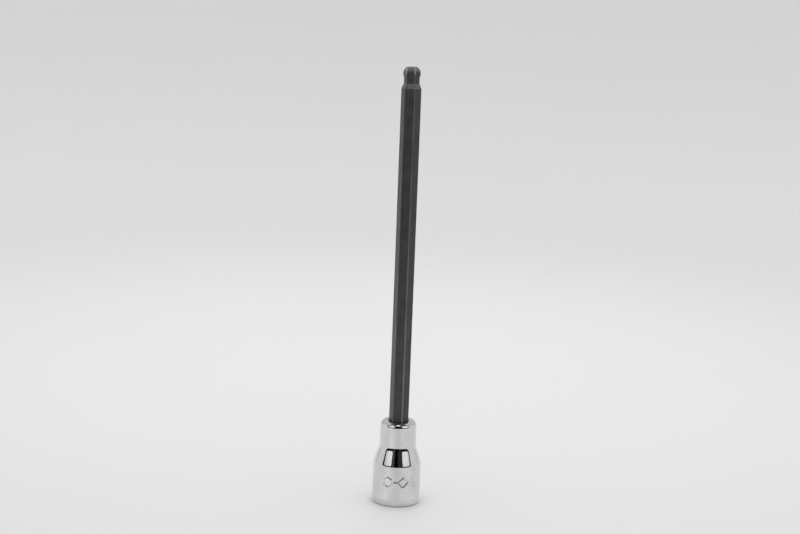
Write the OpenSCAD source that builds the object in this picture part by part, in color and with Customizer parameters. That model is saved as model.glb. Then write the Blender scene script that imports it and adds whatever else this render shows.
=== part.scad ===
// Long ball-end hex bit socket: a turned socket body with a square drive recess,
// and a one-piece hex bit that is pressed into it.
// Millimetres. The drive end rests on z = 0, the common axis is +Z, and the ball tip points up.

/* [Overall] */
// Length from the drive end to the tip of the ball
overall_length = 160; // [120:1:200]
// Steps in each turned blend or edge rounding
arc_steps = 8; // [4:1:12]

/* [Socket body] */
// Length of the socket body
socket_length = 30.7; // [29:0.1:36]
// Diameter of the barrel around the drive recess
barrel_d = 17.6; // [17:0.1:19]
// Diameter of the neck that grips the bit
neck_d = 13.3; // [12.5:0.1:15]
// Height at which the barrel starts to taper
taper_start = 15.2; // [15:0.1:17]
// Height at which the taper meets the neck
taper_end = 21.4; // [20.5:0.1:24]
// Radius of the blends at both ends of the taper
taper_blend = 3.5; // [0.5:0.1:5]
// Rounding of the outer edge at the bit end
mouth_round = 1.6; // [0.5:0.1:2.2]
// Rounding of the outer edge at the drive end
foot_round = 0.6; // [0.2:0.1:0.8]
// Diameter of the counterbore around the bit
counterbore_d = 7.7; // [7.5:0.1:8.2]
// Depth of the counterbore
counterbore_depth = 1.5; // [0.5:0.1:2]

/* [Drive recess] */
// Width across flats of the square recess (3/8 inch drive)
drive_af = 9.58; // [9.54:0.01:9.65]
// Depth of the square recess
drive_depth = 11.2; // [10.8:0.1:11.6]
// Rounding of the corners of the square
drive_corner = 0.5; // [0.3:0.05:0.8]
// Width of the bevel around the entry of the recess
entry_bevel = 0.5; // [0.3:0.05:0.7]
// Height of the groove that catches the drive's detent ball
detent_z = 4.9; // [4.5:0.1:5.5]
// Width of the detent groove
detent_w = 2.6; // [2:0.1:3]
// Depth of the detent groove below the flats
detent_depth = 0.75; // [0.4:0.05:0.9]
// Diameter of the hole for driving out a worn bit
knockout_d = 4.6; // [3:0.1:5]

/* [Hex bit] */
// Hex size of the shank, across flats (1/4 inch)
shank_af = 6.35; // [6.2:0.01:6.4]
// Hex size of the ball, across flats (7/32 inch)
ball_af = 5.556; // [5.4:0.01:5.7]
// Hex size of the neck below the ball, across flats
neck_af = 5; // [4.6:0.05:5.1]
// Height of the shoulder that the bit is seated on
seat_z = 15; // [14.8:0.1:17]
// Distance from the tip down to the widest part of the ball
ball_drop = 2.3; // [2:0.05:2.5]
// Distance from the tip down to the foot of the neck
neck_drop = 5.9; // [5.5:0.05:6.5]
// Slope of the ramps from the shank's flats in to the neck's flats
collar_angle = 22; // [18:0.5:40]

/* [Stamped marks] */
// Width of a stamped stroke
stroke_w = 0.5; // [0.3:0.05:0.6]
// Depth of a stamped stroke
stroke_depth = 0.2; // [0.08:0.01:0.25]
// Height of the middle of the row of marks
marks_z = 9.6; // [8:0.1:11]

/* [Hidden] */
$fn = 96;
eps = 0.01;
cut = 1;

barrel_r = barrel_d / 2;
neck_r = neck_d / 2;
taper_angle = atan((barrel_r - neck_r) / (taper_end - taper_start));
blend_tangent = taper_blend * tan(taper_angle / 2);

// Drive recess: a drilled pilot just wider than the flats, which the broach squares up
pilot_gap = 0.12;
pilot_r = drive_af / 2 + pilot_gap;
chip_room = 0.5;
pilot_depth = drive_depth + chip_room;
drill_tip_angle = 118;
drill_tip_h = (pilot_r - knockout_d / 2) / tan(drill_tip_angle / 2);
drive_corner_r = drive_af / 2 * sqrt(2) - drive_corner * (sqrt(2) - 1);

// Radius out to a hexagon's corner, less what the rounding of the corner takes off
shank_corner_r = shank_af / sqrt(3) - 0.06;
neck_corner_r = neck_af / sqrt(3) - 0.09;
ball_r = ball_af / sqrt(3) - 0.08;
// Bevel around the seated end of the bit
bit_bevel = 0.7;
ball_z = overall_length - ball_drop;
neck_z = overall_length - neck_drop;
collar_h = (shank_af - neck_af) / 2 / tan(collar_angle);

// Directions around the axis of the stamped marks, counterclockwise from +X
hexagon_mark_at = -101;
dash_mark_at = -81;
diamond_mark_at = -64;
bar_marks_at = [-40, -34];
dot_mark_at = -28;
mark_size = 1.9;
dash_length = 1.6;
dot_drop = 1.4;

// Points of an arc about [x, z], from angle a0 to angle a1
function arc(x, z, r, a0, a1) = [
    for (i = [0:arc_steps])
        let (a = a0 + (a1 - a0) * i / arc_steps)
        [x + r * cos(a), z + r * sin(a)]
];

module hexagon_bar(af, z0, z1) {
    translate([0, 0, z0])
        cylinder(r = af / sqrt(3), h = z1 - z0, $fn = 6);
}

// Outside of the socket body, from the drive end up to the mouth
module turned_body() {
    rotate_extrude()
        polygon(concat(
            [[0, 0]],
            arc(barrel_r - foot_round, foot_round, foot_round, -90, 0),
            arc(barrel_r - taper_blend, taper_start - blend_tangent, taper_blend, 0, taper_angle),
            arc(neck_r + taper_blend, taper_end + blend_tangent, taper_blend, 180 + taper_angle, 180),
            arc(neck_r - mouth_round, socket_length - mouth_round, mouth_round, 0, 90),
            [[0, socket_length]]
        ));
}

module square_broach() {
    intersection() {
        translate([-drive_af / 2, -drive_af / 2, -cut])
            cube([drive_af, drive_af, drive_depth + cut]);
        translate([0, 0, -cut])
            cylinder(r = drive_corner_r, h = drive_depth + cut);
    }
}

// Pilot hole with its drill point, the entry bevel and the hole through the shoulder
module drive_bore() {
    translate([0, 0, -cut])
        cylinder(r = pilot_r, h = pilot_depth + cut);
    translate([0, 0, pilot_depth])
        cylinder(r1 = pilot_r, r2 = knockout_d / 2, h = drill_tip_h);
    translate([0, 0, -eps])
        cylinder(r = knockout_d / 2, h = seat_z + 2 * eps);
    translate([0, 0, -eps])
        cylinder(r1 = pilot_r + 2 * entry_bevel, r2 = pilot_r, h = 2 * entry_bevel);
}

// Ring-shaped groove with a round bottom
module detent_groove() {
    reach = pilot_r + detent_depth;
    round_r = (pow(detent_w / 2, 2) + pow(detent_depth, 2)) / (2 * detent_depth);
    half_angle = asin(detent_w / 2 / round_r);
    rotate_extrude()
        polygon(concat(
            [[0, detent_z - detent_w / 2]],
            arc(reach - round_r, detent_z, round_r, -half_angle, half_angle),
            [[0, detent_z + detent_w / 2]]
        ));
}

// Hexagonal hole that the bit is pressed into, and the round counterbore above it
module bit_broach() {
    hexagon_bar(shank_af, seat_z, socket_length + cut);
    translate([0, 0, socket_length - counterbore_depth])
        cylinder(d = counterbore_d, h = counterbore_depth + cut);
}

// One straight stroke sunk in the barrel, "along" and "up" mm from a mark's middle
module stroke(at, along, up, length, tilt) {
    rotate([0, 0, at + along / barrel_r * 180 / PI])
        translate([barrel_r - stroke_depth + cut / 2, 0, marks_z + up])
            rotate([tilt, 0, 0])
                cube([cut, length, stroke_w], center = true);
}

module outline_mark(at, sides, radius) {
    apothem = radius * cos(180 / sides);
    side = 2 * radius * sin(180 / sides);
    turn = sides == 4 ? 45 : 0;
    for (i = [0:sides - 1]) {
        a = turn + i * 360 / sides;
        stroke(at, apothem * cos(a), apothem * sin(a), side, a + 90);
    }
}

// Hexagon for the bit, diamond for the square drive, and plain strokes
module stamped_marks() {
    outline_mark(hexagon_mark_at, 6, mark_size);
    stroke(dash_mark_at, 0, 0, dash_length, 0);
    outline_mark(diamond_mark_at, 4, mark_size);
    for (at = bar_marks_at)
        stroke(at, 0, 0, 2 * mark_size, 90);
    stroke(dot_mark_at, 0, -dot_drop, stroke_w, 0);
}

module drive_socket() {
    color("gainsboro")
        difference() {
            turned_body();
            square_broach();
            drive_bore();
            detent_groove();
            bit_broach();
            stamped_marks();
        }
}

// Two opposite flats of the shank, with the ramps that lead in to the neck's flats
module ramped_flats(turn) {
    rotate([90, 0, turn + 90])
        linear_extrude(height = 2 * shank_af, center = true)
            polygon([
                [-shank_af / 2, seat_z],
                [shank_af / 2, seat_z],
                [shank_af / 2, neck_z - collar_h],
                [neck_af / 2, neck_z],
                [-neck_af / 2, neck_z],
                [-shank_af / 2, neck_z - collar_h]
            ]);
}

// Shank with a bevelled seat end, rounded corners and the ramps at the foot of the neck
module shank() {
    intersection() {
        ramped_flats(0);
        ramped_flats(60);
        ramped_flats(120);
        rotate_extrude()
            polygon([
                [0, seat_z],
                [shank_corner_r - bit_bevel, seat_z],
                [shank_corner_r, seat_z + bit_bevel],
                [shank_corner_r, neck_z - collar_h],
                [neck_corner_r, neck_z],
                [0, neck_z]
            ]);
    }
}

module ball_neck() {
    intersection() {
        hexagon_bar(neck_af, neck_z - eps, ball_z);
        translate([0, 0, neck_z - eps])
            cylinder(r = neck_corner_r, h = ball_z - neck_z + eps);
    }
}

// Two opposite flats of the ball, arched about a level line through its middle
module arched_flats(turn) {
    translate([0, 0, ball_z])
        rotate([0, 90, turn])
            cylinder(r = ball_af / 2, h = 4 * ball_af, center = true);
}

module ball() {
    intersection() {
        arched_flats(0);
        arched_flats(60);
        arched_flats(120);
        translate([0, 0, ball_z])
            sphere(r = ball_r);
        translate([0, 0, ball_z - ball_r])
            cylinder(r = ball_af, h = ball_r + ball_drop);
    }
}

module hex_bit() {
    color("dimgray")
        union() {
            shank();
            ball_neck();
            ball();
        }
}

drive_socket();
hex_bit();
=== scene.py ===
import math

import bpy
import numpy as np
from mathutils import Matrix, Vector


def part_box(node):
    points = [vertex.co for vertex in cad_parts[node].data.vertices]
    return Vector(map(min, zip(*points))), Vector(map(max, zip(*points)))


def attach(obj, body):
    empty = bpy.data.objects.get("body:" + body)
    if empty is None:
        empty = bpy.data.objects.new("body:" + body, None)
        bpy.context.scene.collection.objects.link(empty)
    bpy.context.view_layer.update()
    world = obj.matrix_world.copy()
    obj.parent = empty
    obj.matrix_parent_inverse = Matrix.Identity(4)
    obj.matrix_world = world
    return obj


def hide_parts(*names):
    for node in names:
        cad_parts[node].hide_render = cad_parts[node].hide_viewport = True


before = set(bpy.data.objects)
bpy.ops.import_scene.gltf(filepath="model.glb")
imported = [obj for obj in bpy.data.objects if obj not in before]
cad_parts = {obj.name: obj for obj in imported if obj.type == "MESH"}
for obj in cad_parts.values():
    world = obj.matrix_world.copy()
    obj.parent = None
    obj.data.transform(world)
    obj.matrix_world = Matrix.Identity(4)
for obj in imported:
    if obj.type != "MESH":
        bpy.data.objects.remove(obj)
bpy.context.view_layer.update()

MM = 0.001

# Driving sizes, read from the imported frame, in metres
SOCKET_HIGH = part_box("drive_socket")[1]
BIT_LOW, BIT_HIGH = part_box("hex_bit")
HEIGHT = BIT_HIGH.z
SEAT_Z = BIT_LOW.z
SOCKET_Z = SOCKET_HIGH.z
BARREL_R = SOCKET_HIGH.x
SHANK_HALF_AF = BIT_HIGH.y

# Socket body, heights measured up from the drive end
NECK_R = 6.65 * MM
TAPER_START = 15.2 * MM
TAPER_END = 21.4 * MM
TAPER_BLEND_LOW = 2.5 * MM
TAPER_BLEND_HIGH = 6 * MM
MOUTH_ROUND = 1.6 * MM
FOOT_ROUND = 0.6 * MM
SMALL_ROUND = 0.15 * MM
COUNTERBORE_R = 3.85 * MM
COUNTERBORE_DEPTH = 1.5 * MM

# Drive recess. The foot's flat face starts just outside the corners of the square
DRIVE_HALF_AF = 4.79 * MM
DRIVE_DEPTH = 11.2 * MM
DRIVE_CORNER = 0.5 * MM
PILOT_R = DRIVE_HALF_AF + 0.12 * MM
PILOT_DEPTH = DRIVE_DEPTH + 0.5 * MM
KNOCKOUT_R = 2.3 * MM
DRILL_TIP_H = (PILOT_R - KNOCKOUT_R) / math.tan(math.radians(59))
ENTRY_BEVEL = 1 * MM
DETENT_Z = 4.9 * MM
DETENT_HALF_W = 1.3 * MM
DETENT_DEPTH = 0.75 * MM
FOOT_FACE_R = DRIVE_HALF_AF * 1.44
PILOT_STEP = 0.03 * MM

# Hex bit, heights measured down from the tip
SHANK_CORNER = 0.4 * MM
BIT_BEVEL = 0.7 * MM
BALL_HALF_AF = 2.778 * MM
BALL_R = 3.128 * MM
BALL_DROP = 2.3 * MM
BALL_CORNER = 0.15 * MM
NECK_HALF_AF = 2.5 * MM
NECK_CORNER = 0.5 * MM
NECK_DROP = 5.9 * MM
COLLAR_ANGLE = math.radians(22)
COLLAR_SPAN = 1.75 * MM
GRIND_BLEND = 0.07 * MM
TIP_ROUND = 0.12 * MM
GROUND_STEP = 0.06 * MM
# Least half-width and radius that the ball's formulas give below the ball, where the neck hides them
LEAST_HALF_AF, LEAST_R = 0.5 * MM, 0.6 * MM

# Stamped marks, placed by their direction around the axis, counterclockwise from +X
STROKE_HALF_W = 0.4 * MM
STROKE_DEPTH = 0.15 * MM
MARKS_Z = 9.6 * MM
MARK_SIZE = 1.9 * MM
DASH_LENGTH = 1.6 * MM
DOT_DROP = 1.4 * MM
HEXAGON_AT, DASH_AT, DIAMOND_AT, DOT_AT = -101, -81, -64, -28
BARS_AT = (-40, -34)
MARKS_FROM, MARKS_TO = -117, -23
MARKS_BAND = MARK_SIZE + 1 * MM
# How deep a stroke has to be for its painted shade to start, and to be at its darkest
PAINTED_SHADE_FROM, PAINTED_SHADE_FULL = 0.06 * MM, 0.14 * MM

# Longest stretches of the socket's mesh, up the barrel and in the recess, and degrees round it
STAMPED_STEP, PLAIN_STEP, RECESS_STEP = 0.09 * MM, 0.5 * MM, 0.25 * MM
STAMPED_TURN, PLAIN_TURN = 0.55, 2.5

# Camera: its direction, tilt and lens, and how far the foot of the object lies from it
VIEW_AZIMUTH = math.radians(10)
VIEW_PITCH = math.radians(10.4)
VIEW_ROLL = math.radians(2.18)
FOCAL_MM = 67.5
BASE_RIGHT, BASE_UP, BASE_AHEAD = 1.65 * MM, -86.57 * MM, 558.3 * MM

# Studio
FLOOR_GREY = 0.8
SWEEP_START, SWEEP_R, SWEEP_TOP = 0.9, 0.6, 1.6
PANEL_R = 0.45
LIT_PANEL_R, CEILING_R = PANEL_R * 0.98, PANEL_R * 0.97
LIT_FROM, LIT_FULL = PANEL_R * 0.21, PANEL_R * 0.34
CARD_REACH, CARD_LIFT, CARD_HALF_SPREAD = (14 * MM, 400 * MM), 0.3 * MM, 75
CARD_LEVEL = 0.79
FLOOR_LIGHT_WATTS, FLOOR_LIGHT_AWAY, FLOOR_LIGHT_UP = 4.5, 0.2, 0.9


# ---------------------------------------------------------------- shapes

def smooth_min(a, b, blend):
    """The smaller of a and b, with the edge between them rounded over about the blend's length."""
    h = np.clip(0.5 + 0.5 * (b - a) / blend, 0, 1)
    return b + (a - b) * h - blend * h * (1 - h)


def smooth_max(a, b, blend):
    return -smooth_min(-a, -b, blend)


def polygon_radius(angles, sides, half_af, corner, first_corner=0.0):
    """Distance from the axis to a regular polygon with rounded corners, in the directions given."""
    sector = 2 * math.pi / sides
    phi = np.abs((angles - first_corner + sector / 2) % sector - sector / 2)
    centre = (half_af - corner) / math.cos(sector / 2)
    edge = math.atan2(corner * math.sin(sector / 2), centre + corner * math.cos(sector / 2))
    flat = half_af / np.cos(sector / 2 - phi)
    inside = np.minimum(phi, edge)
    arc = centre * np.cos(inside) + np.sqrt(corner ** 2 - (centre * np.sin(inside)) ** 2)
    return np.where(phi < edge, arc, flat)


def hexagon_radius(angles, half_af, corner):
    return polygon_radius(angles, 6, half_af, corner)


def square_radius(angles):
    return polygon_radius(angles, 4, DRIVE_HALF_AF, DRIVE_CORNER, math.pi / 4)


def rounded_path(corners, steps=10):
    """A path through (radius, height, rounding) corners, with an arc at each one that is rounded."""
    path = []
    for i, (r, z, rounding) in enumerate(corners):
        here = Vector((r, z))
        if rounding == 0 or i in (0, len(corners) - 1):
            path.append(here)
            continue
        before = (Vector(corners[i - 1][:2]) - here).normalized()
        after = (Vector(corners[i + 1][:2]) - here).normalized()
        half = before.angle(after) / 2
        centre = here + (before + after).normalized() * (rounding / math.sin(half))
        start = here + before * (rounding / math.tan(half)) - centre
        sweep = math.pi - 2 * half
        if before.cross(after) > 0:
            sweep = -sweep
        for k in range(steps + 1):
            turn = Matrix.Rotation(sweep * k / steps, 2)
            path.append(centre + turn @ start)
    return path


def divided(path, longest):
    """The same path, with every stretch longer than the given length cut into equal pieces."""
    points = [path[0]]
    for a, b in zip(path, path[1:]):
        pieces = max(1, math.ceil((b - a).length / longest(a, b)))
        points += [a.lerp(b, k / pieces) for k in range(1, pieces + 1)]
    return points


def ring(angles, radii, z):
    return np.stack([radii * np.cos(angles), radii * np.sin(angles), np.full_like(angles, z)], axis=1)


def loft(name, rings, capped):
    """A mesh of quads between rings of points: a closed tube, or with its ends closed to a point."""
    count, width = len(rings), len(rings[0])
    points = [tuple(p) for r in rings for p in r]
    rows = range(count - 1) if capped else range(count)
    faces = []
    for i in rows:
        a, b = i * width, (i + 1) % count * width
        for j in range(width):
            k = (j + 1) % width
            faces.append((a + j, a + k, b + k, b + j))
    if capped:
        low, high = len(points), len(points) + 1
        points += [(0, 0, rings[0][0][2]), (0, 0, rings[-1][0][2])]
        top = (count - 1) * width
        for j in range(width):
            k = (j + 1) % width
            faces.append((k, j, low))
            faces.append((top + j, top + k, high))
    mesh = bpy.data.meshes.new(name)
    mesh.from_pydata(points, [], faces)
    mesh.polygons.foreach_set("use_smooth", [True] * len(faces))
    mesh.set_sharp_from_angle(angle=math.radians(32))
    piece = bpy.data.objects.new(name, mesh)
    bpy.context.scene.collection.objects.link(piece)
    return piece


def directions(*groups, gap=0.12):
    """Angles in radians from several groups in degrees, sorted, none closer than the gap."""
    kept = []
    for degrees in sorted({round(d % 360, 3) for group in groups for d in group}):
        if not kept or degrees - kept[-1] >= gap:
            kept.append(degrees)
    return np.radians(kept)


def around_corners(sides, first, offsets):
    sector = 360 / sides
    return [first + sector * k + s * o for k in range(sides) for o in offsets for s in (1, -1)]


# ---------------------------------------------------------------- stamped marks

def outline_strokes(at, sides, first_corner):
    """Strokes of a polygon's outline, as (direction, start, end) with start and end in mm along and up."""
    corners = []
    for k in range(sides + 1):
        a = first_corner + 2 * math.pi * k / sides
        corners.append(MARK_SIZE * np.array((math.cos(a), math.sin(a))))
    return [(at, a, b) for a, b in zip(corners, corners[1:])]


def marks():
    strokes = outline_strokes(HEXAGON_AT, 6, math.pi / 6)
    strokes += outline_strokes(DIAMOND_AT, 4, 0)
    strokes.append((DASH_AT, np.array((-DASH_LENGTH / 2, 0)), np.array((DASH_LENGTH / 2, 0))))
    for at in BARS_AT:
        strokes.append((at, np.array((0, -MARK_SIZE)), np.array((0, MARK_SIZE))))
    strokes.append((DOT_AT, np.array((0, -DOT_DROP)), np.array((0, -DOT_DROP + 0.01 * MM))))
    return strokes


def stamp_depth(angles, z):
    """How far the stamped strokes sink the barrel at height z, in the directions given."""
    depth = np.zeros_like(angles)
    for at, start, end in marks():
        turn = (angles - math.radians(at) + math.pi) % (2 * math.pi) - math.pi
        along, up = turn * BARREL_R, np.full_like(angles, z - MARKS_Z)
        run = end - start
        t = np.clip(((along - start[0]) * run[0] + (up - start[1]) * run[1]) / (run @ run), 0, 1)
        away = np.hypot(along - start[0] - t * run[0], up - start[1] - t * run[1])
        across = np.clip(away / STROKE_HALF_W, 0, 1)
        depth = np.maximum(depth, STROKE_DEPTH * (1 - across ** 2) ** 2)
    return depth


# ---------------------------------------------------------------- socket body

def outer_path():
    return rounded_path([
        (FOOT_FACE_R, 0, 0),
        (BARREL_R, 0, FOOT_ROUND),
        (BARREL_R, MARKS_Z - MARKS_BAND, 0),
        (BARREL_R, MARKS_Z + MARKS_BAND, 0),
        (BARREL_R, TAPER_START, TAPER_BLEND_LOW),
        (NECK_R, TAPER_END, TAPER_BLEND_HIGH),
        (NECK_R, SOCKET_Z, MOUTH_ROUND),
        (COUNTERBORE_R, SOCKET_Z, SMALL_ROUND),
        (COUNTERBORE_R, SOCKET_Z - COUNTERBORE_DEPTH, 0),
    ])


def recess_path():
    """From the knock-out hole down to the entry, as (radius, height) of the round cuts alone."""
    reach = PILOT_R + DETENT_DEPTH
    groove_r = (DETENT_HALF_W ** 2 + DETENT_DEPTH ** 2) / (2 * DETENT_DEPTH)
    half = math.asin(DETENT_HALF_W / groove_r)
    path = [Vector((PILOT_R, DRIVE_DEPTH - PILOT_STEP))]
    for k in range(17):
        a = half * (1 - k / 8)
        path.append(Vector((reach - groove_r + groove_r * math.cos(a), DETENT_Z + groove_r * math.sin(a))))
    path.append(Vector((PILOT_R, ENTRY_BEVEL)))
    path.append(Vector((PILOT_R + ENTRY_BEVEL, 0)))
    return path


def barrel_step(a, b):
    """Longest stretch of the socket's outside: fine where it is stamped."""
    stamped = abs((a.y + b.y) / 2 - MARKS_Z) < MARKS_BAND and abs(a.x - b.x) < SMALL_ROUND
    return STAMPED_STEP if stamped else PLAIN_STEP


def socket_rings():
    corner_steps = (0, 0.7, 1.4, 2.1, 2.8, 3.6)
    pilot_meets_flat = (12.2, 12.8)
    angles = directions(
        around_corners(6, 0, corner_steps),
        around_corners(4, 45, corner_steps),
        around_corners(4, 0, pilot_meets_flat),
        np.arange(MARKS_FROM, MARKS_TO, STAMPED_TURN),
        np.arange(0, 360, PLAIN_TURN),
    )
    hexagon = hexagon_radius(angles, SHANK_HALF_AF, SHANK_CORNER)
    square = square_radius(angles)
    nothing = np.zeros_like(angles)
    rings = []

    def add(points, section, stamped=False):
        for r, z in points:
            radii = np.maximum(np.full_like(angles, r), section)
            if stamped:
                radii = radii - stamp_depth(angles, z)
            rings.append(ring(angles, radii, z))

    add(divided(outer_path(), barrel_step), nothing, stamped=True)
    add([(0, SOCKET_Z - COUNTERBORE_DEPTH), (0, SEAT_Z)], hexagon)
    add([(KNOCKOUT_R, SEAT_Z), (KNOCKOUT_R, PILOT_DEPTH + DRILL_TIP_H)], nothing)
    add([(PILOT_R, PILOT_DEPTH), (PILOT_R, DRIVE_DEPTH)], nothing)
    add(divided(recess_path(), lambda a, b: RECESS_STEP), square)
    return rings


def make_socket():
    return loft("drive_socket_body", socket_rings(), capped=False)


# ---------------------------------------------------------------- hex bit

def bit_section(angles, z):
    """Radii of the bit at height z: the shank, the ramps in to the ground neck, and the ball."""
    below_neck = HEIGHT - NECK_DROP - z
    if below_neck > COLLAR_SPAN:
        shank = hexagon_radius(angles, SHANK_HALF_AF, SHANK_CORNER)
        bevel = SHANK_HALF_AF * 2 / math.sqrt(3) - BIT_BEVEL + max(0, z - SEAT_Z)
        return np.minimum(shank, bevel)
    ramp = NECK_HALF_AF + below_neck * math.tan(COLLAR_ANGLE)
    half_af = smooth_max(smooth_min(ramp, SHANK_HALF_AF, GRIND_BLEND), NECK_HALF_AF, GRIND_BLEND)
    corner = np.interp(half_af, (NECK_HALF_AF, SHANK_HALF_AF), (NECK_CORNER, SHANK_CORNER))
    ground = hexagon_radius(angles, half_af, corner)
    off_centre = z - (HEIGHT - BALL_DROP)
    half_af = math.sqrt(max(BALL_HALF_AF ** 2 - off_centre ** 2, LEAST_HALF_AF ** 2))
    envelope = math.sqrt(max(BALL_R ** 2 - off_centre ** 2, LEAST_R ** 2))
    ball = smooth_min(hexagon_radius(angles, half_af, BALL_CORNER), envelope, GRIND_BLEND / 2)
    if off_centre > 0:
        return ball
    return smooth_max(ground, ball, GRIND_BLEND)


def bit_rings():
    corner_steps = (0, 0.6, 1.2, 1.8, 2.4, 3.0, 4.2, 6, 9, 13, 17, 21, 25, 30)
    angles = directions(around_corners(6, 0, corner_steps))
    tip_slope = math.asin(BALL_DROP / BALL_HALF_AF)
    tip_start = HEIGHT - TIP_ROUND * (1 - math.sin(tip_slope))
    ground = HEIGHT - NECK_DROP - COLLAR_SPAN
    heights = np.concatenate([
        np.linspace(SEAT_Z, SEAT_Z + BIT_BEVEL, 4),
        np.linspace(SEAT_Z + 2 * BIT_BEVEL, ground, 60),
        np.arange(ground + GROUND_STEP, tip_start, GROUND_STEP),
    ])
    rings = [ring(angles, bit_section(angles, z), z) for z in heights]
    rim = bit_section(angles, tip_start)
    for k in range(1, 9):
        a = tip_slope + (math.pi / 2 - tip_slope) * k / 8
        radii = rim - TIP_ROUND * (math.cos(tip_slope) - math.cos(a))
        rings.append(ring(angles, radii, HEIGHT - TIP_ROUND * (1 - math.sin(a))))
    flat = rings[-1]
    for share in (0.9, 0.6, 0.3):
        rings.append(flat * np.array((share, share, 1)))
    low = rings[0]
    return [low * np.array((share, share, 1)) for share in (0.3, 0.6, 0.9)] + rings


def make_bit():
    return loft("hex_bit_bar", bit_rings(), capped=True)


# ---------------------------------------------------------------- materials

def add_node(tree, kind, inputs=(), **settings):
    """Adds a node, sets its properties, and links or sets the inputs given as {name or number: value}."""
    node = tree.nodes.new(kind)
    for name, value in settings.items():
        setattr(node, name, value)
    for key, value in dict(inputs).items():
        if isinstance(value, bpy.types.NodeSocket):
            tree.links.new(value, node.inputs[key])
        else:
            node.inputs[key].default_value = value
    return node


def new_material(name):
    material = bpy.data.materials.new(name)
    material.use_nodes = True
    tree = material.node_tree
    tree.nodes.clear()
    shader = add_node(tree, "ShaderNodeBsdfPrincipled")
    output = add_node(tree, "ShaderNodeOutputMaterial")
    tree.links.new(shader.outputs["BSDF"], output.inputs["Surface"])
    return material, tree, shader


def object_place(tree, stretch=(1, 1, 1)):
    """The point's own place on the object, stretched along each axis."""
    place = add_node(tree, "ShaderNodeTexCoord").outputs["Object"]
    return add_node(tree, "ShaderNodeMapping", {"Vector": place, "Scale": stretch}).outputs["Vector"]


def noise(tree, place, scale, detail=3.0, roughness=0.55):
    inputs = {"Vector": place, "Scale": scale, "Detail": detail, "Roughness": roughness}
    return add_node(tree, "ShaderNodeTexNoise", inputs).outputs["Fac"]


def ranged(tree, value, from_low, from_high, to_low, to_high):
    inputs = {
        "Value": value,
        "From Min": from_low,
        "From Max": from_high,
        "To Min": to_low,
        "To Max": to_high,
    }
    return add_node(tree, "ShaderNodeMapRange", inputs, interpolation_type="SMOOTHSTEP").outputs["Result"]


def maths(tree, operation, *values):
    return add_node(tree, "ShaderNodeMath", dict(enumerate(values)), operation=operation).outputs["Value"]


def grey_mix(tree, factor, dark, light):
    inputs = {"Fac": factor, "Color1": (dark, dark, dark, 1), "Color2": (light, light, light, 1)}
    return add_node(tree, "ShaderNodeMixRGB", inputs).outputs["Color"]


def bumps(tree, height, distance, strength, under=None):
    inputs = {"Height": height, "Distance": distance, "Strength": strength}
    if under is not None:
        inputs["Normal"] = under
    return add_node(tree, "ShaderNodeBump", inputs).outputs["Normal"]


def sunk(tree):
    """1 in the bottom of a stamped stroke and 0 on the barrel's own surface."""
    place = add_node(tree, "ShaderNodeTexCoord").outputs["Object"]
    outward = add_node(tree, "ShaderNodeVectorMath", {0: place, 1: (1, 1, 0)}, operation="MULTIPLY")
    length = add_node(tree, "ShaderNodeVectorMath", {0: outward.outputs["Vector"]}, operation="LENGTH")
    radius = length.outputs["Value"]
    height = add_node(tree, "ShaderNodeSeparateXYZ", {"Vector": place}).outputs["Z"]
    below = ranged(tree, radius, BARREL_R - PAINTED_SHADE_FULL, BARREL_R - PAINTED_SHADE_FROM, 1, 0)
    outside = maths(tree, "GREATER_THAN", radius, BARREL_R - 2 * STROKE_DEPTH)
    stamped = maths(tree, "COMPARE", height, MARKS_Z, MARK_SIZE + STROKE_HALF_W)
    return maths(tree, "MULTIPLY", maths(tree, "MULTIPLY", below, outside), stamped)


def chrome():
    """Bright chrome plate: a slight orange peel, faint polishing lines round the body and a few dull
    patches, with painted shade darkening the bottoms of the stamped strokes."""
    material, tree, shader = new_material("polished_chrome")
    place = object_place(tree)
    patches = noise(tree, place, scale=180, detail=4)
    lines = noise(tree, object_place(tree, (1, 1, 60)), scale=90, detail=4)
    peel = noise(tree, place, scale=700, detail=2)
    # Painted shade: the bottoms of the stamped strokes are darkened towards grey in the base colour
    shade_strength = ranged(tree, noise(tree, place, scale=900, detail=3), 0.35, 0.65, 0, 0.45)
    painted_shade = maths(tree, "MULTIPLY", sunk(tree), shade_strength)
    plate = grey_mix(tree, ranged(tree, patches, 0.35, 0.65, 0, 1), 0.66, 0.72)
    inputs = {"Fac": painted_shade, "Color1": plate, "Color2": (0.25, 0.25, 0.25, 1)}
    shader.inputs["Metallic"].default_value = 1
    tree.links.new(add_node(tree, "ShaderNodeMixRGB", inputs).outputs["Color"], shader.inputs["Base Color"])
    dull = maths(tree, "MULTIPLY", painted_shade, 0.25)
    rough = maths(tree, "ADD", ranged(tree, patches, 0.35, 0.7, 0.05, 0.10), dull)
    tree.links.new(rough, shader.inputs["Roughness"])
    normal = bumps(tree, peel, 0.004 * MM, 0.35)
    normal = bumps(tree, lines, 0.003 * MM, 0.25, normal)
    tree.links.new(normal, shader.inputs["Normal"])
    return material


def corner_distance(tree):
    """Distance in metres round the surface to the nearest of the hexagon's six corners, and the height."""
    place = add_node(tree, "ShaderNodeTexCoord").outputs["Object"]
    split = add_node(tree, "ShaderNodeSeparateXYZ", {"Vector": place})
    angle = maths(tree, "ARCTAN2", split.outputs["Y"], split.outputs["X"])
    off_corner = maths(tree, "PINGPONG", angle, math.pi / 6)
    return maths(tree, "MULTIPLY", off_corner, SHANK_HALF_AF), split.outputs["Z"]


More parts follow.
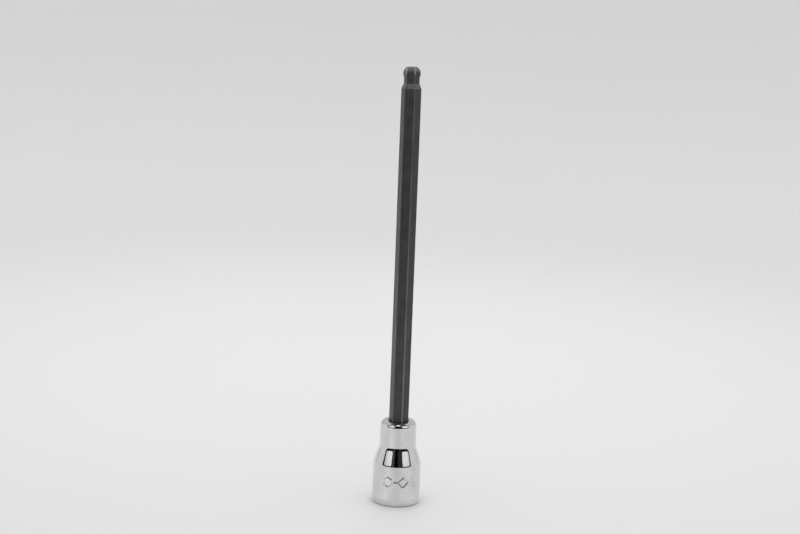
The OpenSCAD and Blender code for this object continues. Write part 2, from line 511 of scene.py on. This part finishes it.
def black_oxide():
    """Black oxide on hardened steel: a fine grain, cloudy patches and long faint draw lines. Worn corners
    carry a painted highlight, the crown of the ball is lighter from wearing and painted light, the ground
    ramps are brighter, and painted light makes the bit lighter towards its lower end."""
    material, tree, shader = new_material("black_oxide_steel")
    clouds = noise(tree, object_place(tree), scale=260, detail=5)
    draw_lines = noise(tree, object_place(tree, (1, 1, 0.03)), scale=1500, detail=3)
    grain = noise(tree, object_place(tree), scale=5200, detail=2)
    corner, height = corner_distance(tree)
    # Worn corners with a painted highlight along them, stronger low down and near the ball
    near_corner = ranged(tree, corner, 0.05 * MM, 0.35 * MM, 1, 0)
    along = ranged(tree, height, 0.3 * HEIGHT, 0.9 * HEIGHT, 0.3, 0.15)
    near_ball = ranged(tree, height, HEIGHT - 3 * MM, HEIGHT - 2 * MM, 0, 1)
    rubs = noise(tree, object_place(tree, (1, 1, 0.2)), scale=420, detail=3)
    rubbed = ranged(tree, rubs, 0.35, 0.6, 0.55, 1)
    edges = maths(tree, "MULTIPLY", near_corner, maths(tree, "ADD", along, near_ball))
    # Painted light and wearing: the crown of the ball is lighter. The ground ramps are lighter steel
    crown = ranged(tree, height, HEIGHT - 2.2 * MM, HEIGHT - 0.4 * MM, 0, 0.5)
    ramps = maths(tree, "COMPARE", height, HEIGHT - NECK_DROP - COLLAR_SPAN / 2, COLLAR_SPAN / 2)
    ground = maths(tree, "MAXIMUM", crown, maths(tree, "MULTIPLY", ramps, 0.2))
    wear_and_painted_highlight = maths(tree, "MULTIPLY", maths(tree, "MAXIMUM", edges, ground), rubbed)
    # Painted light: the bit's colour is lighter towards its lower end
    painted_light_low_down = ranged(tree, height, 0.2 * HEIGHT, 0.8 * HEIGHT, 0.4, 0)
    tone = maths(tree, "ADD", ranged(tree, clouds, 0.3, 0.7, 0, 0.6), painted_light_low_down)
    base = grey_mix(tree, tone, 0.038, 0.058)
    highlit_and_worn_colour = add_node(tree, "ShaderNodeMixRGB", {"Fac": wear_and_painted_highlight, "Color1": base, "Color2": (0.5, 0.5, 0.5, 1)})
    tree.links.new(highlit_and_worn_colour.outputs["Color"], shader.inputs["Base Color"])
    shader.inputs["Specular IOR Level"].default_value = 0.2
    rough = ranged(tree, draw_lines, 0.35, 0.65, 0.27, 0.36)
    rough = maths(tree, "SUBTRACT", rough, maths(tree, "MULTIPLY", wear_and_painted_highlight, 0.1))
    tree.links.new(rough, shader.inputs["Roughness"])
    tree.links.new(maths(tree, "MULTIPLY", wear_and_painted_highlight, 0.8), shader.inputs["Metallic"])
    normal = bumps(tree, grain, 0.01 * MM, 0.4)
    normal = bumps(tree, draw_lines, 0.006 * MM, 0.4, normal)
    tree.links.new(normal, shader.inputs["Normal"])
    return material


def paper():
    """Matt white paper."""
    material, tree, shader = new_material("paper")
    soft = noise(tree, object_place(tree), scale=6, detail=2)
    tree.links.new(grey_mix(tree, soft, FLOOR_GREY * 0.99, FLOOR_GREY * 1.01), shader.inputs["Base Color"])
    shader.inputs["Roughness"].default_value = 1
    shader.inputs["Specular IOR Level"].default_value = 0
    return material


def glow(name, low, high):
    """A lit panel: dimmer along its lower edge and even above it, with faint upright streaks."""
    material, tree, shader = new_material(name)
    place = add_node(tree, "ShaderNodeTexCoord").outputs["Object"]
    height = add_node(tree, "ShaderNodeSeparateXYZ", {"Vector": place}).outputs["Z"]
    upright = noise(tree, object_place(tree, (1, 1, 0.1)), scale=14, detail=3)
    streaks = ranged(tree, upright, 0.3, 0.7, 0.85, 1.1)
    rise = ranged(tree, height, LIT_FROM, LIT_FULL, low, high)
    shader.inputs["Base Color"].default_value = (0, 0, 0, 1)
    shader.inputs["Emission Color"].default_value = (1, 1, 1, 1)
    tree.links.new(maths(tree, "MULTIPLY", rise, streaks), shader.inputs["Emission Strength"])
    return material


def streaked(name, level, streaks):
    """A glow that is even but for upright streaks, each given as (azimuth, half-width, rise in level)."""
    material, tree, shader = new_material(name)
    place = add_node(tree, "ShaderNodeTexCoord").outputs["Object"]
    split = add_node(tree, "ShaderNodeSeparateXYZ", {"Vector": place})
    toward_camera = maths(tree, "MULTIPLY", split.outputs["Y"], -1.0)
    azimuth = maths(tree, "ARCTAN2", split.outputs["X"], toward_camera)
    total = level
    for centre, half_width, rise in streaks:
        off = maths(tree, "SUBTRACT", azimuth, math.radians(centre) + VIEW_AZIMUTH)
        off = maths(tree, "ABSOLUTE", off)
        total = maths(tree, "ADD", total, ranged(tree, off, 0, math.radians(half_width), rise, 0))
    shader.inputs["Base Color"].default_value = (0, 0, 0, 1)
    shader.inputs["Emission Color"].default_value = (1, 1, 1, 1)
    shader.inputs["Specular IOR Level"].default_value = 0
    tree.links.new(total, shader.inputs["Emission Strength"])
    return material


# ---------------------------------------------------------------- studio

def camera_axes():
    """The camera's right, up and forward directions, before its roll."""
    a, p = VIEW_AZIMUTH, VIEW_PITCH
    ahead = Vector((-math.sin(a) * math.cos(p), math.cos(a) * math.cos(p), -math.sin(p)))
    right = Vector((math.cos(a), math.sin(a), 0))
    up = Vector((-math.sin(a) * math.sin(p), math.cos(a) * math.sin(p), math.cos(p)))
    return right, up, ahead


def add_camera():
    right, up, ahead = camera_axes()
    data = bpy.data.cameras.new("camera")
    data.lens = FOCAL_MM
    data.sensor_width = 36
    data.clip_start, data.clip_end = 0.01, 20
    camera = bpy.data.objects.new("camera", data)
    bpy.context.scene.collection.objects.link(camera)
    up_rolled = up * math.cos(VIEW_ROLL) - right * math.sin(VIEW_ROLL)
    right_rolled = right * math.cos(VIEW_ROLL) + up * math.sin(VIEW_ROLL)
    turn = Matrix((right_rolled, up_rolled, -ahead)).transposed().to_4x4()
    place = -(BASE_RIGHT * right + BASE_UP * up + BASE_AHEAD * ahead)
    camera.matrix_world = Matrix.Translation(place) @ turn
    bpy.context.scene.camera = camera


def add_sheet(name, rows, material):
    """A sheet of quads between rows of points, which belongs to the studio and not to the object."""
    width = len(rows[0])
    points = [tuple(p) for row in rows for p in row]
    faces = []
    for i in range(len(rows) - 1):
        for j in range(width - 1):
            a = i * width + j
            faces.append((a, a + 1, a + width + 1, a + width))
    mesh = bpy.data.meshes.new(name)
    mesh.from_pydata(points, [], faces)
    mesh.polygons.foreach_set("use_smooth", [True] * len(faces))
    mesh.materials.append(material)
    sheet = bpy.data.objects.new(name, mesh)
    bpy.context.scene.collection.objects.link(sheet)
    return sheet


def add_sweep():
    """A paper floor that curves up into a backdrop behind the object."""
    away = Vector((-math.sin(VIEW_AZIMUTH), math.cos(VIEW_AZIMUTH), 0))
    side = Vector((away.y, -away.x, 0))
    profile = [(-2.5, 0), (-0.5, 0), (SWEEP_START, 0)]
    for k in range(1, 25):
        a = math.pi / 2 * k / 24
        profile.append((SWEEP_START + SWEEP_R * math.sin(a), SWEEP_R * (1 - math.cos(a))))
    profile.append((SWEEP_START + SWEEP_R, SWEEP_TOP))
    rows = []
    for x in (-3, -1, 0, 1, 3):
        rows.append([away * y + side * x + Vector((0, 0, z)) for y, z in profile])
    return add_sheet("floor_sweep", rows, paper())


def only_reflected(sheet):
    """Leaves a sheet to be seen in glossy surfaces alone: it neither lights nor shades anything else."""
    sheet.visible_camera = False
    sheet.visible_diffuse = False
    sheet.visible_shadow = False


def corner_lift(share, corner):
    """How far an edge lifts, from 0 to 1, over the rounded corner at each end of it."""
    inside = min(share, 1 - share) / corner
    return 0.0 if inside >= 1 else 1 - math.sqrt(1 - (1 - inside) ** 2)


def panel(name, material, sides, bottoms, top, distance=PANEL_R, corner=0.0, lift=0.0):
    """A panel round the object. Its sides are azimuths in degrees from the camera's side towards its
    right. Its bottoms are the elevations of its lower edge at each side."""
    rows = []
    for share in np.linspace(0, 1, 33):
        low = np.interp(share, (0, 1), bottoms) + (lift * corner_lift(share, corner) if corner else 0)
        a = math.radians(np.interp(share, (0, 1), sides)) + VIEW_AZIMUTH
        row = []
        for e in np.radians(np.linspace(low, top, 13)):
            outward = Vector((math.sin(a) * math.cos(e), -math.cos(a) * math.cos(e), math.sin(e)))
            row.append(distance * outward)
        rows.append(row)
    only_reflected(add_sheet(name, rows, material))


def add_panels():
    """The dark opening that the camera looks through, a lit panel on each side, and a dark ceiling."""
    # Painted light: the dark cloth glows in faint upright streaks that the chrome shows
    dark_cloth_painted_streaks = streaked("dark_cloth", 0.0, ((-20, 8, 0.09), (10, 6, 0.05), (20, 6, 0.04)))
    ceiling = glow("ceiling_cloth", 0.02, 0.02)
    lit = dict(distance=LIT_PANEL_R, corner=0.35, lift=6)
    left, right = glow("left_light", 0.3, 1.0), glow("right_light", 0.3, 1.0)
    panel("dark_opening", dark_cloth_painted_streaks, sides=(-79, 77), bottoms=(0, 0), top=71, corner=0.15, lift=30)
    panel("left_panel", left, sides=(-68, -28), bottoms=(13, 16), top=66, **lit)
    panel("right_panel", right, sides=(28, 69), bottoms=(16, 13), top=59, **lit)
    panel("dark_ceiling", ceiling, sides=(30, 330), bottoms=(64, 64), top=90, distance=CEILING_R)


def add_floor_card():
    """A card that only glossy surfaces show, with painted light and painted shade: the brighter and darker
    stretches of the paper in front.
    """
    # Painted light and painted shade: a brighter stretch to the left and a darker one straight in front
    shades = streaked("floor_card", CARD_LEVEL, ((-40, 16, 0.12), (2, 28, -0.10)))
    rows = []
    for degrees in np.linspace(-CARD_HALF_SPREAD, CARD_HALF_SPREAD, 31):
        a = math.radians(degrees) + VIEW_AZIMUTH
        outward = Vector((math.sin(a), -math.cos(a), 0))
        rows.append([outward * r + Vector((0, 0, CARD_LIFT)) for r in CARD_REACH])
    only_reflected(add_sheet("floor_card", rows, shades))


def add_tent():
    """Light from all round: grey walls, a dimmer band above them and a bright spot overhead."""
    world = bpy.data.worlds.new("light_tent")
    world.use_nodes = True
    tree = world.node_tree
    up = add_node(tree, "ShaderNodeTexCoord").outputs["Generated"]
    height = add_node(tree, "ShaderNodeSeparateXYZ", {"Vector": up}).outputs["Z"]
    shades = add_node(tree, "ShaderNodeValToRGB", {"Fac": height})
    shades.color_ramp.elements[0].color = (0.8, 0.8, 0.8, 1)
    for place, grey in ((0.3, 0.78), (0.6, 0.57), (0.9, 0.6), (0.97, 3.4)):
        shades.color_ramp.elements.new(place).color = (grey, grey, grey, 1)
    tree.links.new(shades.outputs["Color"], tree.nodes["Background"].inputs["Color"])
    bpy.context.scene.world = world


def add_floor_light():
    """A soft pool of light on the paper behind the object, which no glossy surface shows."""
    data = bpy.data.lights.new("floor_light", "SPOT")
    data.energy = FLOOR_LIGHT_WATTS
    data.spot_size = math.radians(50)
    data.spot_blend = 1
    data.shadow_soft_size = 0.1
    lamp = bpy.data.objects.new("floor_light", data)
    bpy.context.scene.collection.objects.link(lamp)
    away = Vector((-math.sin(VIEW_AZIMUTH), math.cos(VIEW_AZIMUTH), 0))
    lamp.location = away * FLOOR_LIGHT_AWAY + Vector((0, 0, FLOOR_LIGHT_UP))
    lamp.visible_glossy = False


def set_view_transform():
    settings = bpy.context.scene.view_settings
    settings.view_transform = "Standard"
    settings.look = "None"


# ---------------------------------------------------------------- scene

def add_piece(piece, material, node):
    piece.data.materials.append(material)
    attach(piece, "root")
    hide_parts(node)


add_camera()
set_view_transform()
add_sweep()
add_panels()
add_floor_card()
add_tent()
add_floor_light()
add_piece(make_socket(), chrome(), "drive_socket")
add_piece(make_bit(), black_oxide(), "hex_bit")
